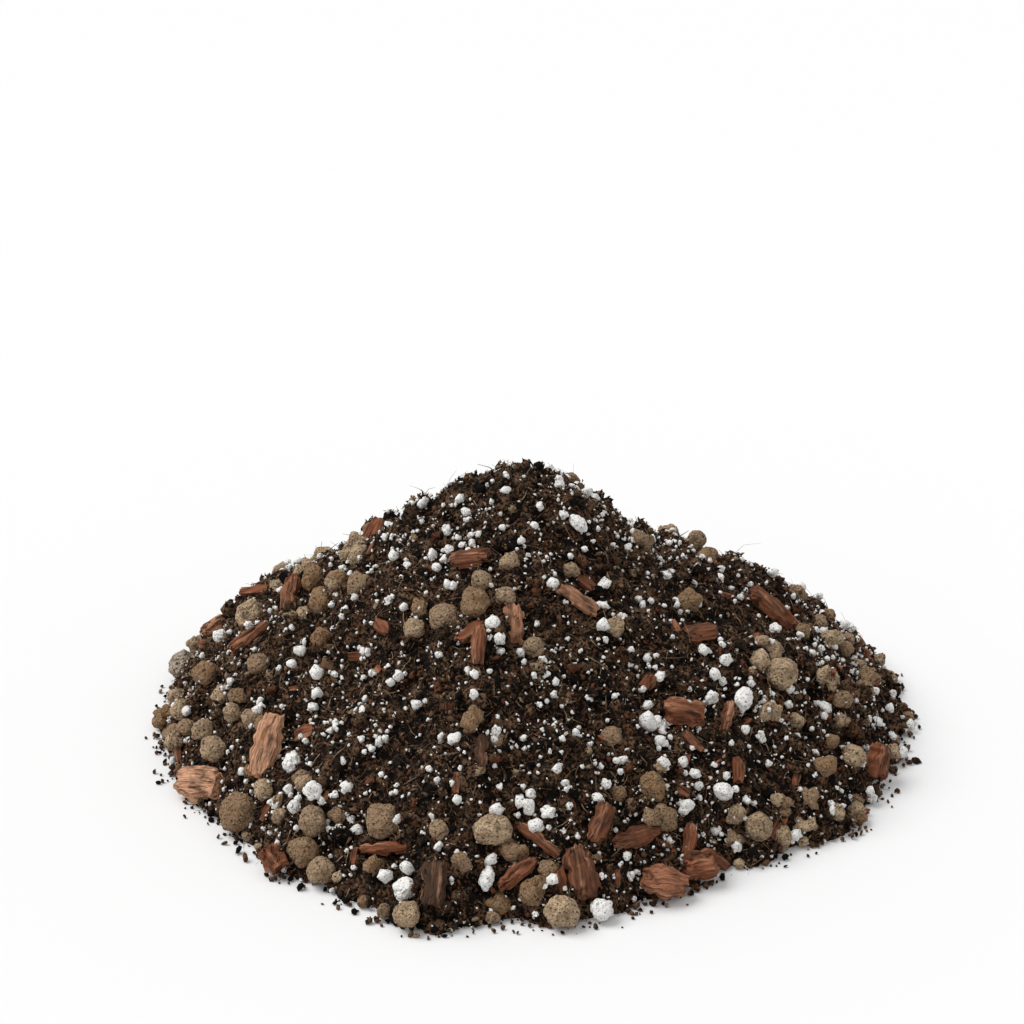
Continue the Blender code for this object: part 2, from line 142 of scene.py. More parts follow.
# White grains, in size between the CAD grains and the loose ones: pixel, and breadth in mm.
MIDDLING_PERLITE = (
    ((647, 722), 6.2), ((647, 706), 4), ((815, 705), 3.4), ((724, 776), 3), ((682, 808), 5.8),
    ((383, 878), 5.8), ((317, 792), 5.4), ((296, 806), 5.4), ((279, 803), 4.2), ((340, 833), 5),
    ((358, 831), 4.2), ((495, 809), 5.4), ((519, 801), 5), ((530, 795), 4), ((547, 813), 5.2),
    ((537, 827), 5), ((491, 862), 4.6), ((411, 868), 4.8), ((495, 626), 5.2), ((496, 640), 4.4),
    ((499, 653), 3), ((603, 587), 4.8), ((604, 607), 4.8), ((600, 627), 4.4), ((552, 583), 4.2),
    ((562, 516), 3.6), ((559, 486), 3.8), ((507, 490), 3.4), ((460, 501), 3.8), ((774, 632), 4.4),
    ((719, 581), 4), ((712, 698), 4.6), ((703, 650), 4.6), ((723, 662), 4.4), ((723, 681), 3.6),
    ((695, 773), 4), ((843, 751), 4.8), ((456, 739), 4.8), ((442, 739), 3.8), ((417, 708), 4.2),
    ((596, 801), 4.4), ((716, 830), 4), ((680, 858), 4), ((658, 743), 4.4), ((222, 637), 5.4),
    ((303, 651), 4.6), ((320, 694), 4.8), ((440, 655), 3), ((476, 677), 3.4), ((520, 655), 3.6),
    ((392, 600), 3.4), ((404, 606), 3.2), ((366, 652), 3.2), ((344, 618), 2.8), ((470, 640), 2.8),
    ((590, 700), 2.8), ((560, 740), 3), ((556, 770), 3.4), ((640, 690), 3), ((625, 760), 3.2),
    ((430, 770), 3), ((380, 740), 3.4), ((345, 760), 3), ((400, 820), 3.2), ((455, 800), 3),
    ((760, 740), 3.2), ((790, 690), 3), ((812, 655), 3.2), ((866, 720), 3), ((745, 800), 3),
    ((825, 706), 5.8), ((531, 809), 5.6), ((497, 934), 5.4), ((657, 727), 4.8), ((821, 717), 3.6),
    ((318, 672), 4.6), ((293, 664), 4), ((316, 706), 4.4), ((475, 694), 3.6), ((405, 896), 3.4),
)
# How dry a chip's bark is, from 0, black-brown and weathered, to 1, pale and dusty.
USUAL_DRYNESS = 0.45
DRYNESS = {
    "bark_chip_01": 0.35, "bark_chip_02": 0.6, "bark_chip_03": 0.8, "bark_chip_04": 0.6,
    "bark_chip_05": 1, "bark_chip_06": 1, "bark_chip_09": 0.8, "bark_chip_10": 0.75,
    "bark_chip_11": 0.3, "bark_chip_12": 0.35, "bark_chip_13": 0.4, "bark_chip_14": 0.35,
    "bark_chip_16": 0.3, "bark_chip_17": 0.25, "bark_chip_18": 0.35, "bark_chip_19": 0.3,
    "bark_chip_21": 0.6, "bark_chip_23": 0, "bark_chip_24": 0.05,
}
# How far apart, in mm, neighbouring chips read the bark's pattern, so that no two are alike.
CHIP_STEP = 40
# The same for the two long sides of a chip, in the pattern of their notches.
NOTCH_SIDE = 7
# Bits of bark, in size between the CAD chips and the loose ones: pixel, heading seen there in
# degrees, and length in mm.
MIDDLING_BARK = (
    ((256, 593), -12, 8), ((483, 648), -72, 9), ((690, 841), 84, 10), ((309, 733), 4, 8),
    ((736, 771), 88, 8), ((690, 745), -32, 8), ((557, 884), -70, 7), ((645, 683), 60, 6),
)

# Breadths of loose pebbles, grains of perlite and specks of it.
PEBBLE_LEAST = 2.2 * MM
PEBBLE_MOST = 6.2 * MM
GRAIN_MIDDLE = 1.9 * MM
GRAIN_LEAST = 1.2 * MM
GRAIN_MOST = 4 * MM
SPECK_LEAST = 0.4 * MM
SPECK_MOST = 1.3 * MM
# Breadth of the patches that loose things gather in, and of the chips out of the stone.
PATCH = 30 * MM
STONE_CHIP = 4 * MM
# How finely the peat's edge ripples round the foot: patches of noise in the heap's radius.
FOOT_WAVES = 14
# How far from a pebble's middle the peat falls back, as a share of the pebble's breadth.
SOCKET_REACH = 0.6
# Each operator that strews something has a seed of its own.
PEBBLE_SEED = 5
BARK_SEED = 6
PERLITE_SEED = 7
CRUMB_SEED = 8
FIBRE_SEED = 9


def linear(hex_colour):
    """Linear RGB of an sRGB hex colour."""
    channels = [int(hex_colour[i : i + 2], 16) / 255 for i in (1, 3, 5)]
    return tuple(c / 12.92 if c <= 0.04045 else ((c + 0.055) / 1.055) ** 2.4 for c in channels)


def colour_property(name, hex_colour, description):
    return FloatVectorProperty(
        name=name,
        description=description,
        subtype="COLOR",
        min=0,
        max=1,
        default=linear(hex_colour),
    )


def size_property(name, millimetres, description):
    return FloatProperty(
        name=name,
        description=description,
        unit="LENGTH",
        precision=4,
        min=0,
        default=millimetres * MM,
    )


def count_property(name, count, description):
    return IntProperty(name=name, description=description, min=0, default=count)


def strength_property(name, strength, description):
    return FloatProperty(name=name, description=description, min=0, default=strength)


class PeatSettings(bpy.types.PropertyGroup):
    spacing: size_property("Spacing", 0.95, "Distance between the surface's points")
    clod_width: size_property("Clod width", 6, "Breadth of the surface's clods")
    clod_height: size_property("Clod height", 2.0, "How far clods stand out")
    grit_width: size_property("Grit width", 2.2, "Breadth of the grit between clods")
    grit_height: size_property("Grit height", 1.2, "How far the grit stands out")
    foot_inset: size_property("Foot inset", 2, "How far in the surface stops, behind loose crumbs")
    socket_depth: size_property("Socket depth", 0.9, "How far the peat falls back round a pebble")
    crumbs: count_property("Crumbs", 850, "Crumbs of a few millimetres")
    crumb_breadth: size_property("Crumb breadth", 2.8, "Middle breadth of the crumbs")
    flakes: count_property("Flakes", 16500, "Torn flakes of moss, in each of two pieces")
    flake_length: size_property("Flake length", 1.8, "Middle length of a flake")
    crumb_flakes: count_property("Crumb flakes", 5900, "Flakes that stick to the crumbs")
    fringe: count_property("Fringe", 1900, "Crumbs that lie round the foot")
    fringe_breadth: size_property("Fringe breadth", 1.2, "Middle breadth of a crumb of the fringe")
    fringe_reach: size_property("Fringe reach", 2.3, "How far out the fringe usually reaches")
    fringe_limit: size_property("Fringe limit", 6, "How far out the fringe ends")
    fibres: count_property("Fibres", 6400, "Root and moss fibres")
    fibre_length: size_property("Fibre length", 3.4, "Middle length of a fibre")
    fibre_thickness: size_property("Fibre thickness", 0.24, "Thickness of a fibre at its root")
    # Black peat is partly the tone of moist peat and partly painted shade: its blotches stand for
    # the dark gaps between crumbs.
    black: colour_property("Black peat", "#0A0603", "Moist peat in the hollows")
    brown: colour_property("Brown peat", "#785C45", "Peat in the light")
    red: colour_property("Red peat", "#69422B", "Half-rotted bark among the peat")
    pale: colour_property("Pale fibre", "#A38B6F", "Dry root fibre")


class BarkSettings(bpy.types.PropertyGroup):
    cuts: count_property("Cuts", 6, "New points on each edge of a CAD chip")
    layer_depth: size_property("Layer depth", 1.5, "Height of the steps where layers split off")
    groove_width: size_property("Groove width", 1.1, "Breadth of the grooves along a chip")
    groove_depth: size_property("Groove depth", 0.5, "Depth of the grooves along a chip")
    notch_width: size_property("Notch width", 3, "Breadth of the notches in a chip's long sides")
    bits: count_property("Bits", 150, "Small bits of bark over the whole heap")
    bit_length: size_property("Bit length", 4.4, "Middle length of a bit")
    weathered: colour_property("Weathered bark", "#4A3423", "Bark that lay in the damp")
    red: colour_property("Red bark", "#96583A", "Freshly split bark")
    pale: colour_property("Pale bark", "#EAB08B", "Worn edges and dust")
    groove: colour_property("Grooves", "#2E1A10", "Shade in the grooves")


class PebbleSettings(bpy.types.PropertyGroup):
    lump_width: size_property("Lump width", 3.2, "Breadth of the lumps on a pebble")
    lump_height: size_property("Lump height", 0.9, "Height of the lumps on a pebble")
    grain_height: size_property("Grain height", 0.3, "Height of the fine grain")
    gravel: count_property("Gravel", 60, "Pebbles of 2 to 6 mm, most of them low on the slope")
    foot_gravel: count_property("Foot gravel", 45, "Pebbles that rolled to the very foot")
    tan: colour_property("Tan clay", "#E6C9A4", "Fired clay in the light")
    brown: colour_property("Brown clay", "#AB8F73", "Darker fired clay")
    ochre: colour_property("Ochre clay", "#A37A50", "Clay with more iron in it")
    # The pits' colour is painted shade in the clay's pores; the stone's dark grains use it too.
    pit: colour_property("Pits", "#46331F", "Peat dust in the pits")
    stone: colour_property("Stone", "#CFC2AE", "Broken grey stone")


class PerliteSettings(bpy.types.PropertyGroup):
    bubble_width: size_property("Bubble width", 1.5, "Breadth of the bubbles on a grain")
    bubble_height: size_property("Bubble height", 0.5, "Height of the bubbles on a grain")
    grains: count_property("Grains", 1490, "Loose grains of 1.2 to 4 mm")
    specks: count_property("Specks", 5000, "Broken specks of about 1 mm")
    white: colour_property("White", "#F3F1ED", "Expanded perlite")
    # The pits' colour is painted shade inside the perlite's open bubbles.
    pit: colour_property("Pits", "#7C766C", "Open bubbles with dust in them")


class StageSettings(bpy.types.PropertyGroup):
    floor: colour_property("Floor", "#EAEAEA", "White table")
    bounce: colour_property("Bounce", "#DADADA", "The table's colour in the light it throws back")
    lift: strength_property("Lift", 0.03, "How much the camera sees the table glow")
    fill: strength_property("Fill", 0.62, "Light from all round")
    key: strength_property("Key", 2.15, "Soft light from the upper left")
    key_spread: FloatProperty(
        name="Key spread",
        description="Angle that the soft light fills, as seen from the heap",
        subtype="ANGLE",
        min=0,
        default=math.radians(40),
    )


# Meshes


def welded(name):
    """A bmesh of a CAD node with its corners joined."""
    shape = bmesh.new()
    shape.from_mesh(frame["nodes"][name].data)
    bmesh.ops.remove_doubles(shape, verts=shape.verts, dist=TOUCHING)
    return shape


def cut_up(shape, cuts):
    """Cuts each edge of a bmesh this many times, and its faces into triangles."""
    bmesh.ops.subdivide_edges(shape, edges=shape.edges, cuts=cuts, use_grid_fill=True)
    bmesh.ops.triangulate(shape, faces=shape.faces)
    shape.normal_update()


def triangles_of(shape):
    """The triangles of a bmesh, each as its corners' numbers."""
    return np.array([[corner.index for corner in face.verts] for face in shape.faces])


def disc_triangles(rings):
    """Triangles of a disc of points: one in the middle, then rings of 6, 12, 18 and so on."""
    triangles = []
    for ring in range(1, rings + 1):
        outer, outer_count = 1 + 3 * ring * (ring - 1), 6 * ring
        inner, inner_count = 1 + 3 * (ring - 1) * (ring - 2), 6 * (ring - 1)
        for sector in range(6):
            for step in range(ring):
                here = outer + sector * ring + step
                ahead = outer + (sector * ring + step + 1) % outer_count
                if ring == 1:
                    triangles.append((0, here, ahead))
                    continue
                back = inner + (sector * (ring - 1) + step) % inner_count
                triangles.append((back, here, ahead))
                if step < ring - 1:
                    back_ahead = inner + (sector * (ring - 1) + step + 1) % inner_count
                    triangles.append((back, ahead, back_ahead))
    return triangles


def arrays_of(mesh):
    """Corners, corner normals and triangles of a mesh."""
    points = np.empty(len(mesh.vertices) * 3)
    mesh.vertices.foreach_get("co", points)
    normals = np.empty(len(mesh.vertices) * 3)
    mesh.vertices.foreach_get("normal", normals)
    mesh.calc_loop_triangles()
    triangles = np.empty(len(mesh.loop_triangles) * 3, int)
    mesh.loop_triangles.foreach_get("vertices", triangles)
    return points.reshape(-1, 3), normals.reshape(-1, 3), triangles.reshape(-1, 3)


def tree_of(names):
    """A search tree over the surfaces of these objects."""
    points, faces = [], []
    for name in names:
        corners, _, triangles = arrays_of(bpy.data.objects[name].data)
        faces += (triangles + len(points)).tolist()
        points += corners.tolist()
    return BVHTree.FromPolygons(points, faces)


def new_mesh(name, points, triangles):
    """A mesh from arrays of points and triangles."""
    mesh = bpy.data.meshes.new(name)
    mesh.vertices.add(len(points))
    mesh.vertices.foreach_set("co", np.asarray(points, np.float32).ravel())
    mesh.loops.add(3 * len(triangles))
    mesh.loops.foreach_set("vertex_index", np.asarray(triangles, np.int32).ravel())
    mesh.polygons.add(len(triangles))
    mesh.polygons.foreach_set("loop_start", np.arange(0, 3 * len(triangles), 3, dtype=np.int32))
    mesh.update(calc_edges=True)
    return mesh


def add_piece(mesh, material, replaced=(), sharp_degrees=None):
    """Puts a finished mesh in the scene as a piece of the part."""
    piece = bpy.data.objects.new(mesh.name, mesh)
    bpy.context.scene.collection.objects.link(piece)
    mesh.materials.append(material)
    if sharp_degrees:
        mesh.shade_smooth()
        mesh.set_sharp_from_angle(angle=math.radians(sharp_degrees))
    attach(piece, "root")
    if replaced:
        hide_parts(*replaced)
    return piece


def set_grain(mesh, grain, dryness):
    """Stores each point's place along, across and through the bark's grain, and its dryness."""
    layer = mesh.attributes.new("along_grain", "FLOAT_VECTOR", "POINT")
    layer.data.foreach_set("vector", np.asarray(grain, np.float32).ravel())
    layer = mesh.attributes.new("dryness", "FLOAT", "POINT")
    layer.data.foreach_set("value", np.asarray(dryness, np.float32))


def pair_map(mesh):
    """Gives a mesh of many small lumps a bake map with two triangles to a square."""
    count = len(mesh.polygons)
    side = math.ceil(math.sqrt((count + 1) // 2))
    square = np.arange(count) // 2
    low = np.stack((square % side, square // side), 1).astype(float)
    lower = np.array(((0.08, 0.06), (0.9, 0.06), (0.08, 0.88)))
    upper = np.array(((0.94, 0.94), (0.12, 0.94), (0.94, 0.12)))
    corners = np.where((np.arange(count) % 2 == 0)[:, None, None], lower, upper)
    layer = mesh.uv_layers.new(name="OFBake")
    layer.uv.foreach_set("vector", ((low[:, None] + corners) / side).astype(np.float32).ravel())


# Places on the heap


def foot_table():
    """Bearings and radii of the CAD compost's foot."""
    points, _, _ = arrays_of(frame["nodes"][MOUND].data)
    foot = points[points[:, 2] < TOUCHING]
    bearings = np.arctan2(foot[:, 1], foot[:, 0]) % math.tau
    order = np.argsort(bearings)
    return bearings[order], np.hypot(foot[order, 0], foot[order, 1])


def foot_radius(bearing, table):
    return np.interp(bearing, table[0], table[1], period=math.tau)


def on_floor(bearing, out):
    """Places on the floor at these bearings and distances from the middle."""
    return np.stack((out * np.cos(bearing), out * np.sin(bearing), np.zeros_like(out)), 1)


def height_at(x, y, tree):
    """Height of the heap over a point of the floor, and 0 beside it."""
    hit = tree.ray_cast(Vector((x, y, 1)), Vector((0, 0, -1)))[0]
    return hit.z if hit else 0.0


def view_axes():
    """The photograph's right, up and forward directions."""
    right = Vector((1, 0, 0))
    forward = Vector((0, math.cos(VIEW_PITCH), -math.sin(VIEW_PITCH)))
    return right, right.cross(forward), forward


def seen_at(pixel, tree):
    """Where the sight line through a pixel meets the heap: point, outward normal and line."""
    right, up, forward = view_axes()
    focal_px = VIEW_LENS_MM / VIEW_SENSOR_MM * FRAME_PX
    middle = FRAME_PX / 2
    line = forward * focal_px + right * (pixel[0] - middle) - up * (pixel[1] - middle)
    line.normalize()
    point, normal, _, _ = tree.ray_cast(VIEW_POINT, line)
    return point, normal, line


def spread_over(name, count, rng, patchiness=0.0, to_foot=0.0):
    """Points and normals on a piece, spread by area.

    Patchiness gathers them in patches, and to_foot moves them down the slope.
    """
    points, _, triangles = arrays_of(bpy.data.objects[name].data)
    corners = points[triangles]
    across = np.cross(corners[:, 1] - corners[:, 0], corners[:, 2] - corners[:, 0])
    area = np.linalg.norm(across, axis=1)
    middles = corners.mean(1)
    weight = area * (across[:, 2] > -0.5 * area)
    patches = np.array([noise.noise(Vector(middle) / PATCH) for middle in middles])
    height = middles[:, 2] / points[:, 2].max()
    weight *= np.clip(1 + patchiness * 3 * patches, 0.05, None) * (1 - height) ** (3 * to_foot)
    chosen = rng.choice(len(triangles), count, p=weight / weight.sum())
    first, second = rng.random((2, count, 1))
    folded = first + second > 1
    first, second = np.where(folded, 1 - first, first), np.where(folded, 1 - second, second)
    a, b, c = corners[chosen].transpose(1, 0, 2)
    normal = across[chosen] / area[chosen, None]
    return a + first * (b - a) + second * (c - a), normal


def clear_of(tree, points, reach):
    """Which points are outside the surfaces in a tree and at least reach away from them."""
    kept = []
    for point, far in zip(points.tolist(), reach):
        place = Vector(point)
        near, normal, _, distance = tree.find_nearest(place)
        kept.append(distance > far and (place - near).dot(normal) > 0)
    return np.array(kept)


def set_on_floor(lumps):
    """Lifts each lump that dips under the floor, and says which stay in the part's room."""
    lumps[:, :, 2] -= np.minimum(lumps[:, :, 2].min(1), 0)[:, None]
    low, high = (np.array(corner) for corner in CAD_BOX)
    return ((lumps > low - ROOM) & (lumps < high + ROOM)).all((1, 2))


# Loose shapes. Each seed reads the noise at a place of its own.


def ball(detail):
    """A bmesh ball, 1 across."""
    shape = bmesh.new()
    bmesh.ops.create_icosphere(shape, subdivisions=detail, radius=0.5)
    return shape


def shaped(shape, place_of):
    """Points, each where place_of puts it, and triangles of a bmesh, which is freed."""
    points = np.array([place_of(corner.co) for corner in shape.verts])
    triangles = triangles_of(shape)
    shape.free()
    return points, triangles


def lump_shape(seed, detail, roughness, bumps=1.3):
    """Points and triangles of an irregular lump, about 1 across."""
    shift = Vector((seed * 3.7, -seed * 5.1, seed * 1.9))

    def swollen(place):
        swell = noise.noise(place * 2 * bumps + shift)
        swell += 0.5 * noise.noise(place * 5 * bumps + shift)
        return place * (1 + roughness * swell)

    return shaped(ball(detail), swollen)


def popcorn_shape(seed, detail):
    """Points and triangles of a perlite grain, about 1 across: a cluster of round bubbles."""
    shift = Vector((seed * 2.3, seed * 4.9, -seed * 1.3))

    def blown(place):
        near = noise.voronoi(place * 2.6 + shift)[0][0]
        broad = noise.noise(place * 1.7 - shift)
        return place * (1.08 - 0.62 * near**1.5 + 0.3 * broad)

    return shaped(ball(detail), blown)


def flake_shape(seed):
    """Points and triangles of a torn flake, 1 long: two uneven points on a narrow waist."""
    rng = random.Random(seed)
    waist = []
    for turn in range(4):
        bearing = math.tau * turn / 4 + rng.uniform(-0.4, 0.4)
        reach = rng.uniform(0.1, 0.3)
        across, through = reach * math.cos(bearing), reach * math.sin(bearing)
        waist.append((rng.uniform(-0.25, 0.25), across, through))
    tips = [(end, rng.uniform(-0.15, 0.15), rng.uniform(-0.15, 0.15)) for end in (-0.5, 0.5)]
    triangles = []
    for i in range(4):
        triangles += [[4, (i + 1) % 4, i], [5, i, (i + 1) % 4]]
    return np.array(waist + tips), np.array(triangles)


def splinter_shape(seed):
    """Points and triangles of a small split bit of bark, 1 long: ragged ends, uneven sides."""
    shape = bmesh.new()
    bmesh.ops.create_cube(shape, size=1)
    cut_up(shape, 2)
    shift = Vector((seed * 3.1, seed * 5.7, -seed * 2.3))

    def split(place):
        x, y, z = place
        ragged = noise.noise(Vector((x, y * 4, z * 4)) + shift)
        side = 1 + 0.7 * noise.noise(Vector((x * 2.5, math.copysign(1, y), 0)) + shift)
        narrow = 1 - 0.25 * abs(2 * x) ** 3
        across = y * 0.46 * side * narrow
        through = (z + 0.5 * ragged) * 0.26 * narrow
        return x * (1 + 0.6 * ragged), across, through

    return shaped(shape, split)


def random_turns(count, rng):
    """Rotation matrices, evenly spread."""
    quaternions = rng.normal(size=(4, count))
    w, x, y, z = quaternions / np.linalg.norm(quaternions, axis=0)
    rows = (
        (1 - 2 * (y * y + z * z), 2 * (x * y - z * w), 2 * (x * z + y * w)),
        (2 * (x * y + z * w), 1 - 2 * (x * x + z * z), 2 * (y * z - x * w)),
        (2 * (x * z - y * w), 2 * (y * z + x * w), 1 - 2 * (x * x + y * y)),
    )
    return np.array(rows).transpose(2, 0, 1)


def turns_along(along, out):
    """Rotation matrices with X along one direction and Z as near as it can be to the other."""
    side = np.cross(out, along)
    side /= np.linalg.norm(side, axis=1)[:, None]
    out = np.cross(along, side)
    out /= np.linalg.norm(out, axis=1)[:, None]
    return np.stack((np.cross(side, out), side, out), 2)


def lying_turns(normals, rng, tilt):
    """Rotation matrices that lay a shape flat on each normal, with a random heading and tilt."""
    out = normals + tilt * rng.normal(size=normals.shape)
    out /= np.linalg.norm(out, axis=1)[:, None]
    return turns_along(np.cross(out, rng.normal(size=normals.shape)), out)


def strewn(name, shapes, places, turns, sizes, rng):
    """One mesh with a shape at each place, and its points' places along each shape's own axes.

    A place has three sizes, along the shape's axes.
    """
    kinds = rng.integers(len(shapes), size=len(places))
    points, own, triangles, start = [], [], [], 0
    for kind, (corners, faces) in enumerate(shapes):
        chosen = kinds == kind
        scaled = corners[None] * sizes[chosen, None]
        moved = np.einsum("nij,nvj->nvi", turns[chosen], scaled) + places[chosen, None]
        kept = set_on_floor(moved)
        offsets = start + len(corners) * np.arange(kept.sum())
        triangles.append((faces[None] + offsets[:, None, None]).reshape(-1, 3))
        points.append(moved[kept].reshape(-1, 3))
        own.append((scaled + places[chosen, None])[kept].reshape(-1, 3))
        start += len(points[-1])
    mesh = new_mesh(name, np.concatenate(points), np.concatenate(triangles))
    pair_map(mesh)
    return mesh, np.concatenate(own)


# Materials


def add_node(tree, kind, inputs=(), **settings):
    """Adds a node with its settings. Inputs are pairs of a socket and its value or its source."""
    node = tree.nodes.new(kind)
    for name, value in settings.items():
        setattr(node, name, value)
    for socket, value in inputs:
        if isinstance(value, bpy.types.NodeSocket):
            tree.links.new(value, node.inputs[socket])
        else:
            node.inputs[socket].default_value = value
    return node


def new_material(name, roughness, ior, specular=0.5):
    """A Principled material, its node tree, shader and a socket with places in metres."""
    material = bpy.data.materials.new(name)
    material.use_nodes = True
    tree = material.node_tree
    shader = tree.nodes["Principled BSDF"]
    shader.inputs["Roughness"].default_value = roughness
    shader.inputs["IOR"].default_value = ior
    shader.inputs["Specular IOR Level"].default_value = specular
    places = add_node(tree, "ShaderNodeTexCoord").outputs["Object"]
    return material, tree, shader, places


def mottle(tree, places, breadth, low, high, detail=3):
    """A socket that runs from 0 to 1 in blotches of this breadth."""
    blotch = add_node(
        tree, "ShaderNodeTexNoise", (("Vector", places), ("Scale", 1 / breadth), ("Detail", detail))
    )
    spread = (("Value", blotch.outputs["Fac"]), ("From Min", low), ("From Max", high))
    return add_node(tree, "ShaderNodeMapRange", spread).outputs["Result"]


def blend(tree, share, first, second):
    """A socket between two colours, each a socket or an RGB."""
    mix = add_node(tree, "ShaderNodeMix", ((0, share),), data_type="RGBA")
    for socket, end in ((6, first), (7, second)):
        if isinstance(end, bpy.types.NodeSocket):
            tree.links.new(end, mix.inputs[socket])
        else:
            mix.inputs[socket].default_value = (*end, 1)
    return mix.outputs[2]


def roughen(tree, shader, height, depth):
    """Bumps a shader's surface by a socket from 0 to 1, of this real depth."""
    bump = add_node(tree, "ShaderNodeBump", (("Height", height), ("Distance", depth)))
    tree.links.new(bump.outputs["Normal"], shader.inputs["Normal"])


def by_island(tree, low, high):
    """A socket from 0 to 1 that is the same all over a loose lump and differs between lumps."""
    lot = add_node(tree, "ShaderNodeNewGeometry").outputs["Random Per Island"]
    spread = (("Value", lot), ("From Min", low), ("From Max", high))
    return add_node(tree, "ShaderNodeMapRange", spread).outputs["Result"]


def peat_material():
    """Sphagnum peat, milled and moist: brown and reddish, matt, and nowhere smooth, with near-black
    blotches that are partly moist peat and partly painted shade of the gaps between crumbs. Its
    dust, about 0.1 mm, is drawn at 0.6 mm, or it wouldn't show."""
    settings = bpy.context.scene.compost_peat
    material, tree, shader, places = new_material("milled_peat", 0.92, 1.4, specular=0.25)
    # The black in these blends is partly moist peat and partly painted shade of the gaps between
    # crumbs.
    tone = blend(tree, mottle(tree, places, 5 * MM, 0.45, 0.62), settings.black, settings.brown)
    tone = blend(tree, mottle(tree, places, 1.6 * MM, 0.54, 0.68), tone, settings.red)
    tone = blend(tree, mottle(tree, places, 0.9 * MM, 0.46, 0.58), tone, settings.black)
    tree.links.new(tone, shader.inputs["Base Color"])
    roughen(tree, shader, mottle(tree, places, 0.6 * MM, 0.3, 0.7, detail=5), 0.5 * MM)
    return material


def peat_crumb_material():
    """Loose peat and moss, moist: black, brown, reddish or dry and pale from crumb to crumb, the
    black crumbs and blotches partly moist peat and partly painted shade of the gaps between crumbs.
    Its moss leaves, about 0.2 mm wide, are drawn at 0.5 mm, or they wouldn't show."""
    settings = bpy.context.scene.compost_peat
    material, tree, shader, places = new_material("peat_crumb", 0.92, 1.4, specular=0.25)
    # Painted shade, in part: the share of black crumbs and the black blotches stand for the gaps
    # between crumbs.
    tone = blend(tree, by_island(tree, 0.22, 0.72), settings.black, settings.brown)
    tone = blend(tree, by_island(tree, 0.74, 0.76), tone, settings.red)
    tone = blend(tree, by_island(tree, 0.9, 0.93), tone, settings.pale)
    tone = blend(tree, mottle(tree, places, 0.9 * MM, 0.5, 0.64), tone, settings.black)
    tree.links.new(tone, shader.inputs["Base Color"])
    roughen(tree, shader, mottle(tree, places, 0.5 * MM, 0.3, 0.7, detail=4), 0.4 * MM)
    return material


def fibre_material():
    """Root and moss fibre, air-dried: thin, pale to dark brown, each one its own tone."""
    settings = bpy.context.scene.compost_peat
    material, tree, shader, places = new_material("root_fibre", 0.7, 1.45, specular=0.3)
    tone = blend(tree, by_island(tree, 0.1, 0.6), settings.black, settings.brown)
    tone = blend(tree, by_island(tree, 0.6, 0.95), tone, settings.pale)
    tone = blend(tree, mottle(tree, places, 2 * MM, 0.5, 0.8), tone, settings.black)
    tree.links.new(tone, shader.inputs["Base Color"])
    return material


def bark_material():
    """Pine bark, split: corky layers along the grain with no gloss, and from black-brown where it
    lay in the damp to pale and dusty where it is dry, with painted shade in the grooves as dark
    streaks along the grain. Its fibres, about 0.1 mm, are drawn as streaks of 0.8 mm, or they
    wouldn't show."""
    settings = bpy.context.scene.compost_bark
    material, tree, shader, places = new_material("pine_bark", 0.85, 1.5, specular=0.3)
    grain = add_node(tree, "ShaderNodeAttribute", attribute_name="along_grain").outputs["Vector"]
    narrow = (("Vector", grain), ("Scale", (0.11, 1, 1)))
    streaks = add_node(tree, "ShaderNodeMapping", narrow).outputs["Vector"]
    dryness = add_node(tree, "ShaderNodeAttribute", attribute_name="dryness").outputs["Fac"]
    damp = (("Value", dryness), ("From Min", 0), ("From Max", 0.5))
    dry = (("Value", dryness), ("From Min", 0.5), ("From Max", 1))
    damp = add_node(tree, "ShaderNodeMapRange", damp).outputs["Result"]
    dry = add_node(tree, "ShaderNodeMapRange", dry).outputs["Result"]
    tone = blend(tree, damp, settings.weathered, settings.red)
    tone = blend(tree, dry, tone, settings.pale)
    tone = blend(tree, by_island(tree, 0.2, 2.5), tone, settings.weathered)
    tone = blend(tree, mottle(tree, streaks, 2.5 * MM, 0.52, 0.9), tone, settings.pale)
    tone = blend(tree, mottle(tree, places, 4 * MM, 0.48, 0.8), tone, settings.weathered)
    # Painted shade: dark streaks along the grain stand for the shade in the grooves.
    tone = blend(tree, mottle(tree, streaks, 0.8 * MM, 0.48, 0.72, detail=4), tone, settings.groove)
    tree.links.new(tone, shader.inputs["Base Color"])
    roughen(tree, shader, mottle(tree, streaks, 0.8 * MM, 0.3, 0.7, detail=5), 0.8 * MM)
    return material


def clay_material():
    """Expanded clay, rolled and fired: a dry, porous skin from tan to brown, with painted shade
    as dark spots in its pits. Its pores, mostly 0.1 to 0.5 mm, are drawn at 0.7 mm, or they
    wouldn't show."""
    settings = bpy.context.scene.compost_pebbles
    material, tree, shader, places = new_material("fired_clay", 0.95, 1.5, specular=0.25)
    tone = blend(tree, by_island(tree, 0.0, 0.75), settings.tan, settings.brown)
    tone = blend(tree, by_island(tree, 0.5, 1.1), tone, settings.ochre)
    tone = blend(tree, mottle(tree, places, 2.5 * MM, 0.42, 0.7), tone, settings.brown)
    # Painted shade: dark spots of 0.7 mm stand for the shade in the clay's pores.
    tone = blend(tree, mottle(tree, places, 0.7 * MM, 0.51, 0.68, detail=5), tone, settings.pit)
    tree.links.new(tone, shader.inputs["Base Color"])
    roughen(tree, shader, mottle(tree, places, 0.9 * MM, 0.3, 0.7, detail=6), 1.3 * MM)
    return material


